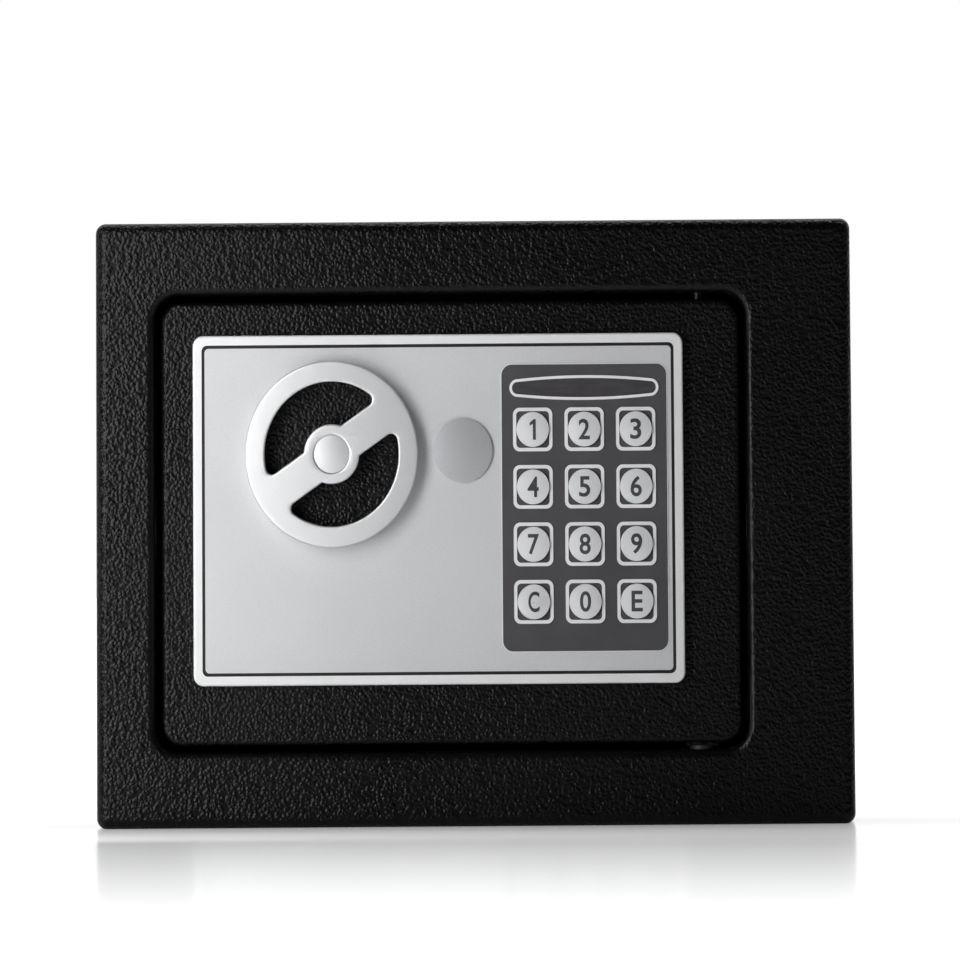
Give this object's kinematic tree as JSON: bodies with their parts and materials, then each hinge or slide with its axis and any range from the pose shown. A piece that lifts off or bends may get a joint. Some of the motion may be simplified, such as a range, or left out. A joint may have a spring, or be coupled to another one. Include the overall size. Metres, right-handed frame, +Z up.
{
  "type": "electronic safe",
  "caption": "Small steel safe with a side-hinged door, a round turn knob driving two sliding bolts, a push-button keypad and a covered emergency keyhole.",
  "frame": {"origin": "on the resting plane, under the middle of the whole safe with its knob", "axes": "+Z up, front of the safe faces -Y, +X towards the hinge side, metres"},
  "size_m": [0.23, 0.1784, 0.17],
  "materials": {
    "cabinet_coat": "textured black powder coat",
    "door_coat": "textured black powder coat",
    "cover_coat": "smooth satin black powder coat",
    "carpet": "needle felt",
    "bright_steel": "turned and zinc plated",
    "zinc_steel": "pressed and zinc plated",
    "screw_steel": "zinc plated",
    "bronze": "machined",
    "lock_metal": "nickel plated die casting",
    "knob_silver": "satin silver lacquer",
    "panel_silver": "silver painted ABS, fine grain",
    "cap_silver": "silver painted ABS",
    "inlay_black": "black",
    "keypad_grey": "fine matt grain",
    "trim_light": "printed light silver",
    "key_white": "silver-white moulded keys",
    "lens_dark": "dark tinted acrylic",
    "led_red": "clear red epoxy",
    "silicone": "silicone sheet",
    "board_green": "solder mask",
    "coil_wire": "enamelled copper winding",
    "box_black": "moulded black ABS",
    "cell_jacket": "plain foil jacket",
    "button_red": "moulded red ABS",
    "lead_pvc": "PVC insulation"
  },
  "bodies": {
    "cabinet": {"body_shell": "cabinet_coat", "front_frame": "cabinet_coat", "back_panel": "cabinet_coat", "floor_mat": "carpet", "hinge_pins": "cabinet_coat", "hinge_washer": "box_black"},
    "door": {"door_plate": "door_coat", "hinge_lugs": "door_coat", "door_cover": "cover_coat", "cover_studs": "bright_steel", "cover_screws": "screw_steel", "bolt_guide": "zinc_steel", "guide_studs": "bright_steel", "carriage_screws": "screw_steel", "spindle_bush": "bronze", "solenoid_frame": "zinc_steel", "solenoid_coil": "coil_wire", "plunger_spring": "screw_steel", "lock_cylinder": "lock_metal", "lock_nut": "screw_steel", "fascia": "panel_silver", "fascia_inlay": "inlay_black", "fascia_screws": "screw_steel", "keypad_plate": "keypad_grey", "keypad_trim": "trim_light", "window_lens": "lens_dark", "status_led": "led_red", "keypad_mat": "silicone", "circuit_board": "board_green", "battery_box": "box_black", "batteries": "cell_jacket", "battery_contacts": "screw_steel", "reset_switch": "box_black", "wire_harness": "lead_pvc"},
    "knob": {"knob": "knob_silver", "knob_cap": "knob_silver", "knob_screw": "screw_steel", "spindle": "bright_steel", "crank": "zinc_steel"},
    "carriage": {"bolt_carriage": "zinc_steel", "locking_bolts": "bright_steel", "bolt_screws": "screw_steel"},
    "plunger": {"plunger": "bright_steel"},
    "lock_plug": {"lock_plug": "bronze", "lock_cam": "zinc_steel"},
    "keyhole_cap": {"keyhole_cap": "cap_silver"},
    "reset_button": {"reset_button": "button_red"},
    "battery_cover": {"battery_cover": "box_black"},
    "key_1": {"key_1": "key_white"},
    "key_2": {"key_2": "key_white"},
    "key_3": {"key_3": "key_white"},
    "key_4": {"key_4": "key_white"},
    "key_5": {"key_5": "key_white"},
    "key_6": {"key_6": "key_white"},
    "key_7": {"key_7": "key_white"},
    "key_8": {"key_8": "key_white"},
    "key_9": {"key_9": "key_white"},
    "key_0": {"key_0": "key_white"},
    "key_c": {"key_c": "key_white"},
    "key_e": {"key_e": "key_white"}
  },
  "joints": [
    {"name": "door_swing", "type": "hinge", "parent": "cabinet", "child": "door", "pos_m": [0.0688, -0.0743, 0.085], "axis": [0, 0, 1], "range_deg": [0, 100]},
    {"name": "knob_turn", "type": "hinge", "parent": "door", "child": "knob", "pos_m": [-0.0433, -0.0808, 0.1046], "axis": [0, -1, 0], "range_deg": [0, 70]},
    {"name": "carriage_slide", "type": "slide", "parent": "door", "child": "carriage", "axis": [-1, 0, 0], "range_m": [0, 0.0115]},
    {"name": "plunger_slide", "type": "slide", "parent": "door", "child": "plunger", "axis": [0, 0, 1], "range_m": [0, 0.004], "deforming": ["plunger_spring"]},
    {"name": "lock_turn", "type": "hinge", "parent": "door", "child": "lock_plug", "pos_m": [-0.0034, -0.0808, 0.1054], "axis": [0, 1, 0], "range_deg": [0, 90]},
    {"name": "cap_pull", "type": "slide", "parent": "door", "child": "keyhole_cap", "axis": [0, -1, 0], "range_m": [0, 0.012]},
    {"name": "reset_press", "type": "slide", "parent": "door", "child": "reset_button", "axis": [0, -1, 0], "range_m": [0, 0.0015], "stiffness_N_per_m": 300},
    {"name": "battery_cover_pull", "type": "slide", "parent": "door", "child": "battery_cover", "axis": [0, 1, 0], "range_m": [0, 0.02]},
    {"name": "key_1_press", "type": "slide", "parent": "door", "child": "key_1", "axis": [0, 1, 0], "range_m": [0, 0.0008], "stiffness_N_per_m": 500},
    {"name": "key_2_press", "type": "slide", "parent": "door", "child": "key_2", "axis": [0, 1, 0], "range_m": [0, 0.0008], "stiffness_N_per_m": 500},
    {"name": "key_3_press", "type": "slide", "parent": "door", "child": "key_3", "axis": [0, 1, 0], "range_m": [0, 0.0008], "stiffness_N_per_m": 500},
    {"name": "key_4_press", "type": "slide", "parent": "door", "child": "key_4", "axis": [0, 1, 0], "range_m": [0, 0.0008], "stiffness_N_per_m": 500},
    {"name": "key_5_press", "type": "slide", "parent": "door", "child": "key_5", "axis": [0, 1, 0], "range_m": [0, 0.0008], "stiffness_N_per_m": 500},
    {"name": "key_6_press", "type": "slide", "parent": "door", "child": "key_6", "axis": [0, 1, 0], "range_m": [0, 0.0008], "stiffness_N_per_m": 500},
    {"name": "key_7_press", "type": "slide", "parent": "door", "child": "key_7", "axis": [0, 1, 0], "range_m": [0, 0.0008], "stiffness_N_per_m": 500},
    {"name": "key_8_press", "type": "slide", "parent": "door", "child": "key_8", "axis": [0, 1, 0], "range_m": [0, 0.0008], "stiffness_N_per_m": 500},
    {"name": "key_9_press", "type": "slide", "parent": "door", "child": "key_9", "axis": [0, 1, 0], "range_m": [0, 0.0008], "stiffness_N_per_m": 500},
    {"name": "key_0_press", "type": "slide", "parent": "door", "child": "key_0", "axis": [0, 1, 0], "range_m": [0, 0.0008], "stiffness_N_per_m": 500},
    {"name": "key_c_press", "type": "slide", "parent": "door", "child": "key_c", "axis": [0, 1, 0], "range_m": [0, 0.0008], "stiffness_N_per_m": 500},
    {"name": "key_e_press", "type": "slide", "parent": "door", "child": "key_e", "axis": [0, 1, 0], "range_m": [0, 0.0008], "stiffness_N_per_m": 500}
  ],
  "couplings": [
    {"joint": "carriage_slide", "follows": "knob_turn", "m_per_rad": 0.0093896}
  ]
}
